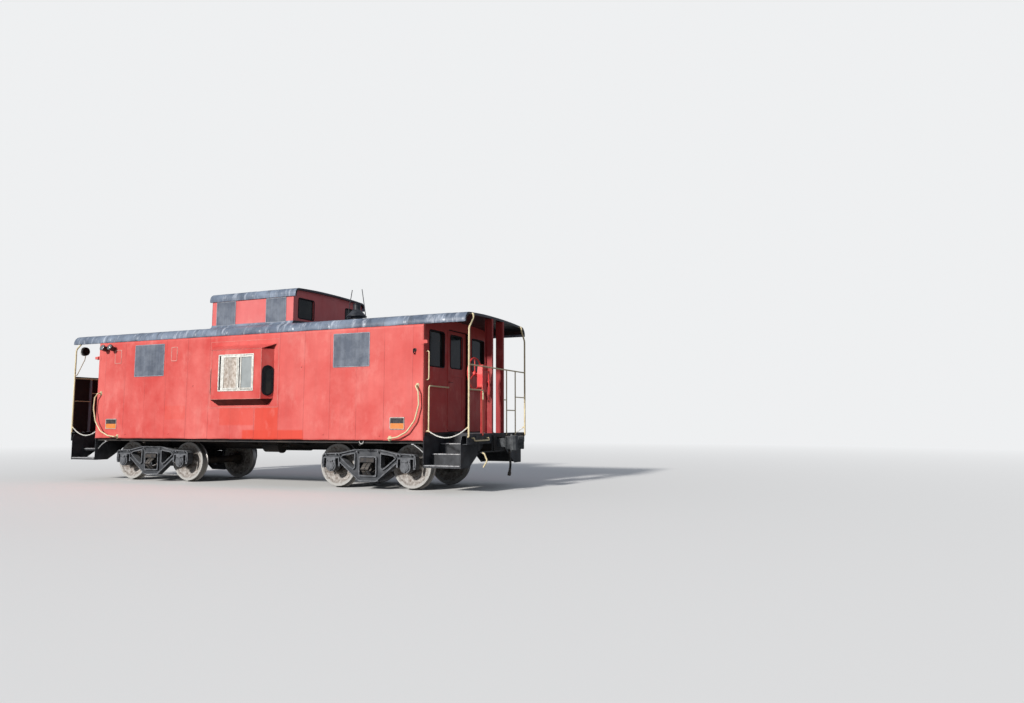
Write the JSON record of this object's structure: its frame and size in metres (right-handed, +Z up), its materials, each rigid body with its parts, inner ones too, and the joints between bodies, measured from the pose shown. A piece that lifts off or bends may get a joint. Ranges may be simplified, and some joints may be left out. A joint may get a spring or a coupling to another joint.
{
  "type": "caboose",
  "caption": "Steel railway caboose with roof cupola, side bay windows, open end platforms with steps and rails, and swivelling four-wheel trucks.",
  "frame": {"origin": "centre of the car in plan, at the lowest point of the wheel flanges, 25.4 mm below the top of the rail", "axes": "+X along the car to the pictured side's right end, +Y to the far side, +Z up"},
  "size_m": [11.02, 3.202, 4.0172],
  "materials": {
    "body_red": "weathered red paint on sheet steel",
    "roof_black": "weathered blue-black roof paint",
    "black_steel": "black painted steel, dusty",
    "cast_steel": "dark cast steel, dusty",
    "wheel_steel": "rusted and polished wheel steel",
    "cream_paint": "aged cream paint",
    "red_steel": "dark red painted steel",
    "aluminium": "dull mill aluminium",
    "plywood": "weathered plywood",
    "glass": "dusty window glass",
    "rope": "white braided rope",
    "hose": "black rubber hose",
    "sign_paint": "blank painted plate",
    "lamp_black": "black lamp housing"
  },
  "bodies": {
    "carbody": {"centre_sill": "black_steel", "side_sills": "black_steel", "cross_bearers": "black_steel", "floor": "black_steel", "platform_a": "black_steel", "platform_b": "black_steel", "steps_a": "black_steel", "steps_b": "black_steel", "side_wall_r": "body_red", "side_wall_l": "body_red", "end_wall_a": "body_red", "end_wall_b": "body_red", "bay_r": "body_red", "bay_l": "body_red", "bay_gaskets": "hose", "bay_windows": "aluminium", "window_board": "plywood", "window_glass": "glass", "blanking_plates": "roof_black", "roof": "roof_black", "cupola_walls": "body_red", "cupola_roof": "roof_black", "smoke_jack": "roof_black", "end_posts": "red_steel", "railing_a": "cream_paint", "railing_b": "cream_paint", "guard_panel": "black_steel", "grab_irons": "cream_paint", "hand_brakes": "red_steel", "coupler_a": "cast_steel", "coupler_b": "cast_steel", "cut_levers": "cream_paint", "brake_gear": "black_steel", "air_hose_a": "hose", "air_hose_b": "hose", "hose_heads": "cast_steel", "rope_a_r": "rope", "rope_a_l": "rope", "rope_b_l": "rope", "rope_b_r": "rope", "lamps": "lamp_black", "signs": "sign_paint"},
    "truck_a": {"side_frames_a": "cast_steel", "bolster_a": "cast_steel", "brake_beams_a": "cast_steel"},
    "truck_b": {"side_frames_b": "cast_steel", "bolster_b": "cast_steel", "brake_beams_b": "cast_steel"},
    "wheelset_1": {"wheels_1": "wheel_steel", "axle_1": "wheel_steel"},
    "wheelset_2": {"wheels_2": "wheel_steel", "axle_2": "wheel_steel"},
    "wheelset_3": {"wheels_3": "wheel_steel", "axle_3": "wheel_steel"},
    "wheelset_4": {"wheels_4": "wheel_steel", "axle_4": "wheel_steel"},
    "end_door_a": {"door_a": "body_red", "door_glass_a": "glass"},
    "end_door_b": {"door_b": "body_red", "door_glass_b": "glass"}
  },
  "joints": [
    {"name": "truck_a_swivel", "type": "hinge", "parent": "carbody", "child": "truck_a", "pos_m": [2.807, 0, 0.6654], "axis": [0, 0, 1], "range_deg": [-6, 6]},
    {"name": "truck_b_swivel", "type": "hinge", "parent": "carbody", "child": "truck_b", "pos_m": [-2.807, 0, 0.6654], "axis": [0, 0, 1], "range_deg": [-6, 6]},
    {"name": "wheelset_1_spin", "type": "hinge", "parent": "truck_a", "child": "wheelset_1", "pos_m": [3.645, 0, 0.4444], "axis": [0, 1, 0], "continuous": true},
    {"name": "wheelset_2_spin", "type": "hinge", "parent": "truck_a", "child": "wheelset_2", "pos_m": [1.969, 0, 0.4444], "axis": [0, 1, 0], "continuous": true},
    {"name": "wheelset_3_spin", "type": "hinge", "parent": "truck_b", "child": "wheelset_3", "pos_m": [-1.969, 0, 0.4444], "axis": [0, 1, 0], "continuous": true},
    {"name": "wheelset_4_spin", "type": "hinge", "parent": "truck_b", "child": "wheelset_4", "pos_m": [-3.645, 0, 0.4444], "axis": [0, 1, 0], "continuous": true},
    {"name": "door_a_hinge", "type": "hinge", "parent": "carbody", "child": "end_door_a", "pos_m": [4.09, 0.412, 2.0754], "axis": [0, 0, -1], "range_deg": [0, 95]},
    {"name": "door_b_hinge", "type": "hinge", "parent": "carbody", "child": "end_door_b", "pos_m": [-4.09, -0.412, 2.0754], "axis": [0, 0, -1], "range_deg": [0, 95]}
  ]
}
